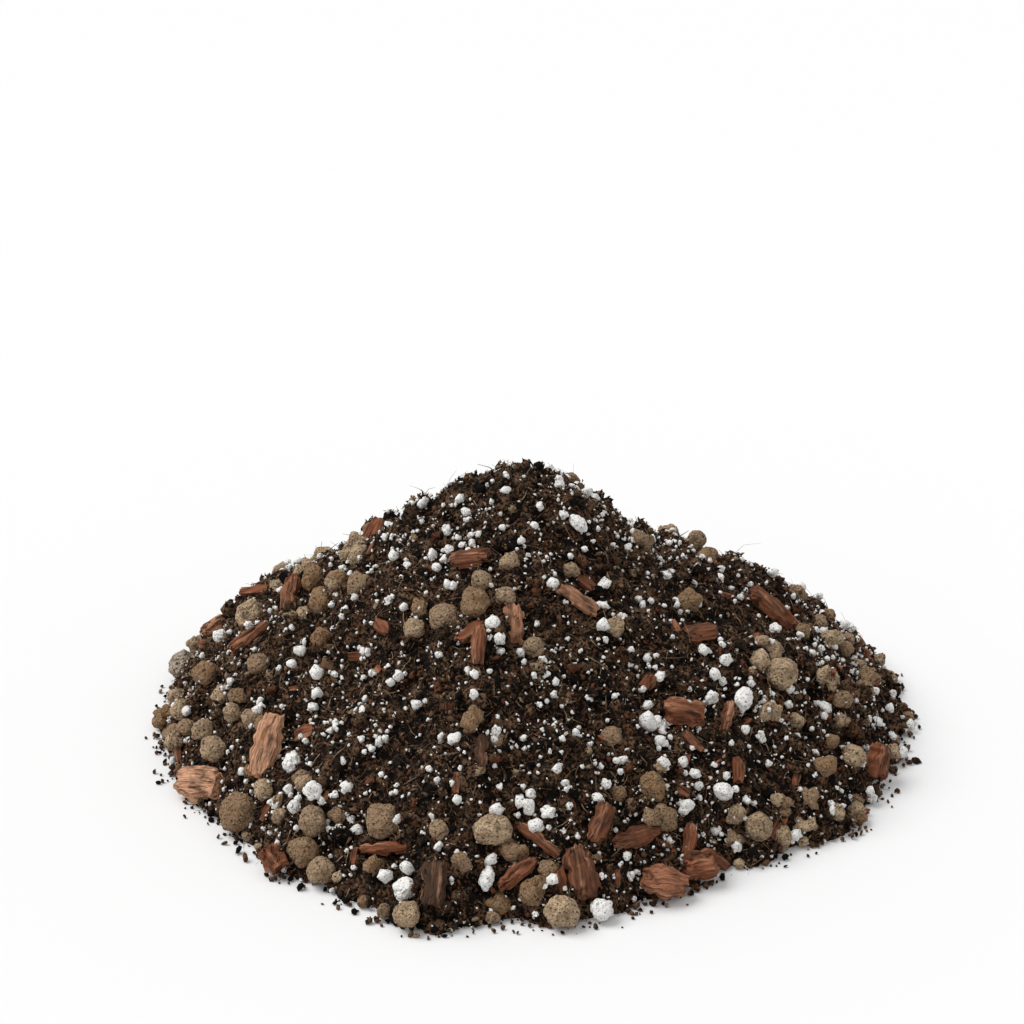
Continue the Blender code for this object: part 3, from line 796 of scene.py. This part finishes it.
def stone_material():
    """Basalt grit, broken: grey with dark grains, dry and rough on its broken faces. The grains,
    mostly under 0.5 mm, are drawn at 0.8 mm, or they wouldn't show."""
    settings = bpy.context.scene.compost_pebbles
    material, tree, shader, places = new_material("broken_basalt", 0.85, 1.55)
    tone = blend(tree, mottle(tree, places, 2.5 * MM, 0.4, 0.7), settings.stone, settings.brown)
    tone = blend(tree, mottle(tree, places, 0.8 * MM, 0.46, 0.62, detail=5), tone, settings.pit)
    tree.links.new(tone, shader.inputs["Base Color"])
    roughen(tree, shader, mottle(tree, places, 0.9 * MM, 0.3, 0.7, detail=6), 1.1 * MM)
    return material


def perlite_material():
    """Expanded perlite: chalky white glass froth, with open bubbles painted grey as the shade
    inside them. The bubbles, 0.1 to 0.3 mm, are drawn at 0.6 mm, or they wouldn't show."""
    settings = bpy.context.scene.compost_perlite
    material, tree, shader, places = new_material("expanded_perlite", 0.9, 1.5, specular=0.3)
    # Painted shade: grey spots of 0.6 mm stand for the shade inside the open bubbles.
    pits = mottle(tree, places, 0.6 * MM, 0.57, 0.68, detail=2)
    tree.links.new(blend(tree, pits, settings.white, settings.pit), shader.inputs["Base Color"])
    roughen(tree, shader, mottle(tree, places, 0.8 * MM, 0.3, 0.7, detail=3), 0.3 * MM)
    return material


def material_named(name, make):
    """A material that several operators share, made on first use."""
    return bpy.data.materials.get(name) or make()


# Operators


class PeatSurface(bpy.types.Operator):
    """Cover the CAD compost with fine clods and grit, down to the foot"""

    bl_idname = "compost.peat_surface"
    bl_label = "Peat surface"

    def execute(self, context):
        settings = context.scene.compost_peat
        table = foot_table()
        tree = tree_of([MOUND])
        rings = round(table[1].mean() / settings.spacing)
        plan = [(0.0, 0.0)]
        for ring in range(1, rings + 1):
            bearing = math.tau * np.arange(6 * ring) / (6 * ring)
            circle = [Vector((math.cos(turn), math.sin(turn), 0)) for turn in bearing]
            waves = np.array([noise.noise(place * FOOT_WAVES) for place in circle])
            foot = foot_radius(bearing, table) - settings.foot_inset * (0.8 + waves)
            out = foot * ring / rings
            plan += zip(out * np.cos(bearing), out * np.sin(bearing))
        points = [(x, y, height_at(x, y, tree)) for x, y in plan]
        triangles = disc_triangles(rings)
        rim = len(points) - 6 * rings
        centre = len(points)
        points.append((0.0, 0.0, 0.0))
        for i in range(6 * rings):
            triangles.append((centre, rim + (i + 1) % (6 * rings), rim + i))
        mesh = new_mesh("peat_surface", points, triangles)
        places, normals, _ = arrays_of(mesh)
        top = CAD_BOX[1][2] + ROOM
        bumps, breadths = cad_bumps(tree, table)
        near_bump = KDTree(len(bumps))
        for i, bump in enumerate(bumps):
            near_bump.insert(bump, i)
        near_bump.balance()
        for i in range(centre):
            place = Vector(places[i])
            clods = noise.noise(place / settings.clod_width)
            clods += 0.5 * noise.noise(place * 2.3 / settings.clod_width)
            grit = 0.45 - noise.voronoi(place / settings.grit_width)[0][0]
            rise = settings.clod_height * clods + settings.grit_height * grit
            _, bump, distance = near_bump.find(place)
            if distance < SOCKET_REACH * breadths[bump]:
                rise = -settings.socket_depth
            if i < rim:
                grown = place + Vector(normals[i]) * rise
                places[i] = (grown.x, grown.y, min(max(grown.z, 0.02 * MM), top))
            else:
                places[i] = place + Vector((place.x, place.y, 0)).normalized() * rise
                places[i, 2] = 0
        mesh.vertices.foreach_set("co", places.astype(np.float32).ravel())
        mesh.update()
        # The bake map is the top as seen from above, with the underside small in a corner.
        corners = places[np.array(triangles)][:, :, :2]
        under = np.array(triangles).max(1) == centre
        reach = table[1].max()
        flat = corners / (2.2 * reach) + 0.5
        flat[under] = corners[under] * 0.06 / reach + 0.07
        layer = mesh.uv_layers.new(name="OFBake")
        layer.uv.foreach_set("vector", flat.astype(np.float32).ravel())
        add_piece(mesh, peat_material(), [MOUND], sharp_degrees=60)
        return {"FINISHED"}


class BarkChips(bpy.types.Operator):
    """Split the CAD bark chips into layered, grooved bark"""

    bl_idname = "compost.bark_chips"
    bl_label = "Bark chips"

    def execute(self, context):
        settings = context.scene.compost_bark
        names = [name for name in HARD if name.startswith("bark_chip")]
        points, triangles, grains, dryness = [], [], [], []
        for number, name in enumerate(names):
            shape = welded(name)
            cut_up(shape, settings.cuts)
            corners = np.array([corner.co for corner in shape.verts])
            middle = corners.mean(0)
            axes = np.linalg.eigh(np.cov((corners - middle).T))[1][:, ::-1]
            local = (corners - middle) @ axes
            half, half_across = abs(local[:, :2]).max(0)
            triangles.append(triangles_of(shape) + len(points))
            for corner, place in zip(shape.verts, local):
                grain = Vector(place) + Vector((1, 1, 1)) * number * CHIP_STEP * MM
                streak = Vector((grain.x * 0.16, grain.y, grain.z)) / settings.groove_width
                broad = Vector((grain.x * 0.1, grain.y * 0.28, grain.z * 0.28))
                broad /= settings.groove_width
                groove = min(0.0, noise.noise(streak)) + 0.3 * noise.noise(streak * 2.3)
                layer = noise.noise(broad) + 0.2 * noise.noise(streak * 1.4)
                step = min(0.15, math.floor(2 * layer + 0.5) / 2)
                torn = abs(noise.noise(streak * 0.8)) * (abs(place[0]) / half) ** 3
                moved = settings.groove_depth * groove + settings.layer_depth * step
                side = math.copysign(NOTCH_SIDE, place[1])
                notch = noise.noise(Vector((grain.x / settings.notch_width, side, number)))
                notch = max(0.0, notch) * (abs(place[1]) / half_across) ** 2
                deep = 2 * settings.layer_depth
                back = Vector(axes[:, 0]) * math.copysign(deep * torn, place[0])
                back += Vector(axes[:, 1]) * math.copysign(deep * notch, place[1])
                spot = corner.co + corner.normal * moved - back
                points.append((spot.x, spot.y, max(spot.z, 0)))
            grains.append(local + number * CHIP_STEP * MM)
            dryness += [DRYNESS.get(name, USUAL_DRYNESS)] * len(local)
            shape.free()
        mesh = new_mesh("bark_pieces", points, np.concatenate(triangles))
        set_grain(mesh, np.concatenate(grains), dryness)
        add_piece(mesh, material_named("pine_bark", bark_material), names, sharp_degrees=32)
        return {"FINISHED"}


def rounded_nodes(names, name, swell):
    """One mesh of CAD nodes, smoothed and with each point moved out by swell(place)."""
    joined = bmesh.new()
    for node in names:
        shape = welded(node)
        loose = bpy.data.meshes.new("loose")
        shape.to_mesh(loose)
        joined.from_mesh(loose)
        bpy.data.meshes.remove(loose)
        shape.free()
    mesh = bpy.data.meshes.new("coarse")
    joined.to_mesh(mesh)
    joined.free()
    coarse = bpy.data.objects.new("coarse", mesh)
    bpy.context.scene.collection.objects.link(coarse)
    coarse.modifiers.new("rounding", "SUBSURF").levels = 2
    bpy.context.view_layer.update()
    graph = bpy.context.evaluated_depsgraph_get()
    fine = bpy.data.meshes.new_from_object(coarse.evaluated_get(graph))
    bpy.data.objects.remove(coarse)
    places, normals, triangles = arrays_of(fine)
    for i, (place, normal) in enumerate(zip(places.copy(), normals)):
        places[i] += normal * swell(Vector(place))
    return new_mesh(name, places, triangles)


class ClayPebbles(bpy.types.Operator):
    """Round the CAD clay pebbles and give them their rough skin"""

    bl_idname = "compost.clay_pebbles"
    bl_label = "Clay pebbles"

    def execute(self, context):
        settings = context.scene.compost_pebbles
        names = [name for name in HARD if name.startswith("clay_pebble")]
        crack_width = 0.16

        def swell(place):
            near = noise.voronoi(place / settings.lump_width)[0]
            crack = max(0.0, crack_width - (near[1] - near[0])) / crack_width
            lumps = settings.lump_height * noise.noise(place / settings.lump_width)
            grain = settings.grain_height * noise.noise(place * 3.4 / settings.lump_width)
            return 0.25 * MM + lumps + grain - settings.grain_height * crack

        mesh = rounded_nodes(names, "clay_balls", swell)
        material = material_named("fired_clay", clay_material)
        add_piece(mesh, material, names, sharp_degrees=80)
        return {"FINISHED"}


class GreyStone(bpy.types.Operator):
    """Break the CAD stone's faces and roughen them"""

    bl_idname = "compost.grey_stone"
    bl_label = "Grey stone"

    def execute(self, context):
        shape = welded("grey_stone")
        cut_up(shape, 5)
        for corner in shape.verts:
            chips = noise.voronoi(corner.co / STONE_CHIP)[0][0]
            corner.co += corner.normal * (0.25 - 0.8 * chips) * MM
        mesh = bpy.data.meshes.new("stone_lump")
        shape.to_mesh(mesh)
        shape.free()
        add_piece(mesh, stone_material(), ["grey_stone"], sharp_degrees=25)
        return {"FINISHED"}


class PerliteGrains(bpy.types.Operator):
    """Blow the CAD perlite grains up into clusters of bubbles"""

    bl_idname = "compost.perlite_grains"
    bl_label = "Perlite grains"

    def execute(self, context):
        settings = context.scene.compost_perlite
        names = [name for name in HARD if name.startswith("perlite_grain")]

        def swell(place):
            near = noise.voronoi(place / settings.bubble_width)[0][0]
            return 0.35 * MM - settings.bubble_height * 1.5 * near**1.5

        mesh = rounded_nodes(names, "perlite_lumps", swell)
        material = material_named("expanded_perlite", perlite_material)
        add_piece(mesh, material, names, sharp_degrees=80)
        return {"FINISHED"}


def cad_bumps(tree, table):
    """Middles and breadths of the pebbles that are bumps of the CAD compost."""
    places, breadths = [], []
    for pixel, breadth in SMALL_PEBBLES:
        point, _, line = seen_at(pixel, tree)
        if point:
            places.append(point + line * breadth * MM * PEBBLE_DEPTH)
            breadths.append(breadth * MM)
    rng = random.Random(GRAVEL_SEED)
    for number in range(GRAVEL):
        bearing = rng.uniform(0, math.tau)
        share = math.sqrt(rng.uniform(0.06, 0.95))
        radius = rng.uniform(GRAVEL_LEAST, GRAVEL_MOST) / 2
        out = share * foot_radius(bearing, table)
        x, y = out * math.cos(bearing), out * math.sin(bearing)
        among_pebbles = y < 0 and share < GRAVEL_FRONT_SHARE
        if among_pebbles or number % GRAVEL_CLODS == 0:
            continue
        # The CAD compost kept a bump only where its top stands clear of the peat round it.
        top = height_at(x, y, tree)
        beside = 0
        for turn in np.arange(6) * math.tau / 6:
            far = 1.6 * radius
            beside += height_at(x + far * math.cos(turn), y + far * math.sin(turn), tree) / 6
        if top - beside > 0.7 * radius:
            places.append(Vector((x, y, top - GRAVEL_DEPTH * radius)))
            breadths.append(2 * radius)
    return np.array(places), np.array(breadths)


class SmallPebbles(bpy.types.Operator):
    """Lay clay pebbles on the CAD compost's bumps, and gravel down to the foot"""

    bl_idname = "compost.small_pebbles"
    bl_label = "Small pebbles"

    def execute(self, context):
        settings = context.scene.compost_pebbles
        rng = np.random.default_rng(PEBBLE_SEED)
        table = foot_table()
        places, breadths = cad_bumps(tree_of([MOUND]), table)
        slope, normals = spread_over("peat_surface", settings.gravel, rng, 0.6, to_foot=1.2)
        bearings = rng.uniform(0, math.tau, settings.foot_gravel)
        out = foot_radius(bearings, table) + rng.normal(-1 * MM, 1.6 * MM, settings.foot_gravel)
        sizes = rng.uniform(PEBBLE_LEAST, PEBBLE_MOST, settings.gravel + settings.foot_gravel)
        slope += normals * sizes[: settings.gravel, None] * 0.25
        loose = np.concatenate((slope, on_floor(bearings, out)))
        loose[settings.gravel :, 2] = 0.45 * sizes[settings.gravel :]
        kept = clear_of(tree_of(HARD), loose, sizes * 0.4)
        places = np.concatenate((places, loose[kept]))
        breadths = np.concatenate((breadths, sizes[kept]))
        shapes = [lump_shape(seed, 3, 0.3 if seed % 3 else 0.6) for seed in range(15)]
        proportions = rng.uniform(0.86, 1.16, (len(places), 3)) * breadths[:, None]
        turns = random_turns(len(places), rng)
        mesh, _ = strewn("gravel", shapes, places, turns, proportions, rng)
        add_piece(mesh, material_named("fired_clay", clay_material), sharp_degrees=80)
        return {"FINISHED"}


class BarkBits(bpy.types.Operator):
    """Strew small bits of bark over the heap"""

    bl_idname = "compost.bark_bits"
    bl_label = "Bark bits"

    def execute(self, context):
        settings = context.scene.compost_bark
        rng = np.random.default_rng(BARK_SEED)
        places, slopes = spread_over("peat_surface", settings.bits, rng, 0.5, to_foot=0.5)
        lengths = settings.bit_length * rng.lognormal(0, 0.35, settings.bits)
        kept = clear_of(tree_of(HARD), places, lengths * 0.35)
        places, slopes, lengths = places[kept], slopes[kept], lengths[kept]
        turns = lying_turns(slopes, rng, 0.35)
        tree = tree_of(["peat_surface"])
        right, up, _ = view_axes()
        for pixel, heading, length in MIDDLING_BARK:
            point, normal, _ = seen_at(pixel, tree)
            turn = math.radians(heading)
            along = right * math.cos(turn) + up * math.sin(turn)
            along -= normal * along.dot(normal)
            places = np.vstack((places, point + normal * length * MM * 0.1))
            slopes = np.vstack((slopes, normal))
            lengths = np.append(lengths, length * MM)
            lying = turns_along(np.array([along.normalized()]), slopes[-1:])
            turns = np.concatenate((turns, lying))
        sizes = lengths[:, None] * rng.uniform(0.8, 1.2, (len(places), 3))
        places = places + slopes * lengths[:, None] * 0.08
        shapes = [splinter_shape(seed) for seed in range(10)]
        mesh, grain = strewn("bark_bits", shapes, places, turns, sizes, rng)
        set_grain(mesh, grain, [USUAL_DRYNESS] * len(grain))
        add_piece(mesh, material_named("pine_bark", bark_material), sharp_degrees=32)
        return {"FINISHED"}


class LoosePerlite(bpy.types.Operator):
    """Strew perlite grains and specks over the heap"""

    bl_idname = "compost.loose_perlite"
    bl_label = "Loose perlite"

    def execute(self, context):
        settings = context.scene.compost_perlite
        rng = np.random.default_rng(PERLITE_SEED)
        tree = tree_of(["peat_surface"])
        places, breadths = [], []
        for pixel, breadth in MIDDLING_PERLITE:
            point, normal, _ = seen_at(pixel, tree)
            if point:
                places.append(point + normal * breadth * MM * 0.28)
                breadths.append(breadth * MM)
        loose, slopes = spread_over("peat_surface", settings.grains, rng, 0.45)
        sizes = GRAIN_MIDDLE * rng.lognormal(0, 0.4, settings.grains)
        sizes = np.clip(sizes, GRAIN_LEAST, GRAIN_MOST)
        kept = clear_of(tree_of(HARD), loose, sizes * 0.45)
        places = np.concatenate((places, (loose + slopes * sizes[:, None] * 0.42)[kept]))
        breadths = np.concatenate((breadths, sizes[kept]))
        proportions = rng.uniform(0.75, 1.15, (len(places), 3)) * breadths[:, None]
        shapes = [popcorn_shape(seed, 3 if seed < 2 else 2) for seed in range(12)]
        turns = random_turns(len(places), rng)
        mesh, _ = strewn("loose_perlite", shapes, places, turns, proportions, rng)
        material = material_named("expanded_perlite", perlite_material)
        add_piece(mesh, material, sharp_degrees=80)

        specks, slopes = spread_over("peat_surface", settings.specks, rng, 0.4)
        sizes = rng.uniform(SPECK_LEAST, SPECK_MOST, settings.specks)
        specks = specks + slopes * (sizes[:, None] * 0.4 + 0.35 * MM)
        proportions = rng.uniform(0.4, 1.3, (settings.specks, 3)) * sizes[:, None]
        shapes = [lump_shape(seed, 1, 0.9) for seed in range(10)]
        turns = random_turns(len(specks), rng)
        mesh, _ = strewn("perlite_specks", shapes, specks, turns, proportions, rng)
        add_piece(mesh, material)
        return {"FINISHED"}


class PeatCrumbs(bpy.types.Operator):
    """Strew peat flakes and crumbs over the heap and round its foot"""

    bl_idname = "compost.peat_crumbs"
    bl_label = "Peat crumbs"

    def execute(self, context):
        settings = context.scene.compost_peat
        rng = np.random.default_rng(CRUMB_SEED)
        material = peat_crumb_material()
        hard = tree_of([*HARD, "gravel"])
        flakes = [flake_shape(seed) for seed in range(16)]
        crumbs = [lump_shape(seed, 2, 0.8, bumps=2) for seed in range(14)]
        for name, bed, shapes, count, breadth in (
            ("peat_crumbs", "peat_surface", crumbs, settings.crumbs, settings.crumb_breadth),
            ("peat_flakes_1", "peat_surface", flakes, settings.flakes, settings.flake_length),
            ("peat_flakes_2", "peat_surface", flakes, settings.flakes, settings.flake_length),
            ("crumb_flakes", "peat_crumbs", flakes, settings.crumb_flakes, settings.flake_length),
        ):
            places, slopes = spread_over(bed, count, rng)
            sizes = breadth * rng.lognormal(0, 0.33, count)
            kept = clear_of(hard, places, sizes * 0.25)
            places, slopes, sizes = places[kept], slopes[kept], sizes[kept]
            places = places + slopes * sizes[:, None] * rng.uniform(0, 0.3, (len(places), 1))
            proportions = rng.uniform(0.6, 1.15, (len(places), 3)) * sizes[:, None]
            turns = random_turns(len(places), rng)
            mesh, _ = strewn(name, shapes, places, turns, proportions, rng)
            add_piece(mesh, material)

        count = settings.fringe
        table = foot_table()
        bearings = rng.uniform(0, math.tau, count)
        beyond = rng.exponential(settings.fringe_reach, count) - settings.foot_inset - 0.5 * MM
        beyond = np.where(beyond > settings.fringe_limit, -settings.foot_inset, beyond)
        sizes = settings.fringe_breadth * rng.lognormal(0.1, 0.45, count)
        places = on_floor(bearings, foot_radius(bearings, table) + beyond)
        places[:, 2] = sizes * rng.uniform(0.2, 1.2, count) * (beyond < 0) + 0.3 * sizes
        kept = clear_of(hard, places, sizes * 0.3)
        proportions = (rng.uniform(0.5, 1.15, (count, 3)) * sizes[:, None])[kept]
        shapes = [lump_shape(seed, 1, 0.75, bumps=2) for seed in range(14)]
        turns = random_turns(count, rng)[kept]
        mesh, _ = strewn("fringe_crumbs", shapes, places[kept], turns, proportions, rng)
        add_piece(mesh, material)
        return {"FINISHED"}


class PeatFibres(bpy.types.Operator):
    """Lay root and moss fibres over the heap"""

    bl_idname = "compost.peat_fibres"
    bl_label = "Peat fibres"

    def execute(self, context):
        settings = context.scene.compost_peat
        rng = np.random.default_rng(FIBRE_SEED)
        count = settings.fibres
        roots, _ = spread_over("peat_surface", count, rng, 0.3)
        tree = tree_of([MOUND])
        slopes = np.array([tree.find_nearest(Vector(root))[1] for root in roots])
        turns = lying_turns(slopes, rng, 0.2)
        along, side, out = turns[:, :, 0], turns[:, :, 1], turns[:, :, 2]
        length = settings.fibre_length * np.clip(rng.lognormal(0, 0.4, (count, 1)), 0.3, 2.2)
        bend = rng.normal(0, 0.35, (count, 1))
        arch = rng.uniform(0, 0.35, (count, 1))
        thick = settings.fibre_thickness * rng.lognormal(0, 0.3, (count, 1))
        rows = []
        for share in (0, 0.5, 1):
            run = along * share + side * bend * share**2 + out * arch * share * (1.2 - share)
            spine = roots + length * run + out * (0.5 * thick + 0.3 * MM)
            for corner in range(3):
                turn = math.tau * corner / 3
                reach = thick * (0.5 - 0.32 * share)
                rows.append(spine + reach * (math.cos(turn) * side + math.sin(turn) * out))
        corners = np.stack(rows, 1)
        corners = corners[set_on_floor(corners)]
        faces = [(0, 2, 1), (6, 7, 8)]
        for row in range(2):
            for i in range(3):
                a, b = row * 3 + i, row * 3 + (i + 1) % 3
                faces += [(a, b, b + 3), (a, b + 3, a + 3)]
        offsets = len(rows) * np.arange(len(corners))
        triangles = (np.array(faces)[None] + offsets[:, None, None]).reshape(-1, 3)
        mesh = new_mesh("peat_fibres", corners.reshape(-1, 3), triangles)
        pair_map(mesh)
        add_piece(mesh, fibre_material())
        return {"FINISHED"}


class Stage(bpy.types.Operator):
    """Set up the white table, the soft light and the photograph's camera"""

    bl_idname = "compost.stage"
    bl_label = "Stage"

    def execute(self, context):
        settings = context.scene.compost_stage
        scene = context.scene
        scene.view_settings.view_transform = "Standard"

        mesh = bpy.data.meshes.new("table")
        edge = TABLE_WIDTH / 2
        corners = [(-edge, -edge, 0), (edge, -edge, 0), (edge, edge, 0), (-edge, edge, 0)]
        mesh.from_pydata(corners, [], [(0, 1, 2, 3)])
        table = bpy.data.objects.new("table", mesh)
        scene.collection.objects.link(table)
        material, tree, shader, _ = new_material("white_laminate", 0.9, 1.45, specular=0.1)
        rays = add_node(tree, "ShaderNodeLightPath")
        pair = ((0, rays.outputs["Is Camera Ray"]), (1, rays.outputs["Is Glossy Ray"]))
        straight = add_node(tree, "ShaderNodeMath", pair, operation="MAXIMUM").outputs[0]
        seen = blend(tree, straight, settings.bounce, settings.floor)
        tree.links.new(seen, shader.inputs["Base Color"])
        pair = ((0, straight), (1, settings.lift))
        glow = add_node(tree, "ShaderNodeMath", pair, operation="MULTIPLY")
        shader.inputs["Emission Color"].default_value = (1, 1, 1, 1)
        tree.links.new(glow.outputs[0], shader.inputs["Emission Strength"])
        mesh.materials.append(material)

        world = bpy.data.worlds.new("white_room")
        world.use_nodes = True
        tree = world.node_tree
        air = tree.nodes["Background"]
        air.inputs["Color"].default_value = (1, 1, 1, 1)
        rays = add_node(tree, "ShaderNodeLightPath")
        fill = (("Value", rays.outputs["Is Camera Ray"]), ("To Min", settings.fill), ("To Max", 1))
        strength = add_node(tree, "ShaderNodeMapRange", fill).outputs["Result"]
        tree.links.new(strength, air.inputs["Strength"])
        scene.world = world

        lamp = bpy.data.lights.new("soft_key", "SUN")
        lamp.energy = settings.key
        lamp.angle = settings.key_spread
        key = bpy.data.objects.new("soft_key", lamp)
        key.rotation_euler = KEY_SIDE.to_track_quat("Z", "Y").to_euler()
        scene.collection.objects.link(key)

        lens = bpy.data.cameras.new("photograph")
        lens.lens = VIEW_LENS_MM
        lens.sensor_width = VIEW_SENSOR_MM
        lens.clip_start = 0.01
        camera = bpy.data.objects.new("photograph", lens)
        camera.location = VIEW_POINT
        camera.rotation_euler = (math.pi / 2 - VIEW_PITCH, 0, 0)
        scene.collection.objects.link(camera)
        scene.camera = camera
        return {"FINISHED"}


SETTINGS = (
    ("compost_peat", PeatSettings),
    ("compost_bark", BarkSettings),
    ("compost_pebbles", PebbleSettings),
    ("compost_perlite", PerliteSettings),
    ("compost_stage", StageSettings),
)
OPERATORS = (
    PeatSurface,
    BarkChips,
    ClayPebbles,
    GreyStone,
    PerliteGrains,
    SmallPebbles,
    BarkBits,
    LoosePerlite,
    PeatCrumbs,
    PeatFibres,
    Stage,
)


class CompostPanel(bpy.types.Panel):
    """Lists the heap's settings and what makes its pieces"""

    bl_idname = "VIEW3D_PT_compost"
    bl_label = "Compost"
    bl_space_type = "VIEW_3D"
    bl_region_type = "UI"
    bl_category = "Compost"

    def draw(self, context):
        for name, group in SETTINGS:
            box = self.layout.box()
            for setting in group.__annotations__:
                box.prop(getattr(context.scene, name), setting)
        for operator in OPERATORS:
            self.layout.operator(operator.bl_idname)


def register():
    for name, group in SETTINGS:
        bpy.utils.register_class(group)
        setattr(bpy.types.Scene, name, PointerProperty(type=group))
    for item in (*OPERATORS, CompostPanel):
        bpy.utils.register_class(item)


def unregister():
    for item in (CompostPanel, *reversed(OPERATORS)):
        bpy.utils.unregister_class(item)
    for name, group in reversed(SETTINGS):
        delattr(bpy.types.Scene, name)
        bpy.utils.unregister_class(group)


def main():
    register()
    bpy.ops.compost.peat_surface()
    bpy.ops.compost.bark_chips()
    bpy.ops.compost.clay_pebbles()
    bpy.ops.compost.grey_stone()
    bpy.ops.compost.perlite_grains()
    bpy.ops.compost.small_pebbles()
    bpy.ops.compost.bark_bits()
    bpy.ops.compost.loose_perlite()
    bpy.ops.compost.peat_crumbs()
    bpy.ops.compost.peat_fibres()
    bpy.ops.compost.stage()
    bpy.context.view_layer.update()


if __name__ == "__main__":
    main()
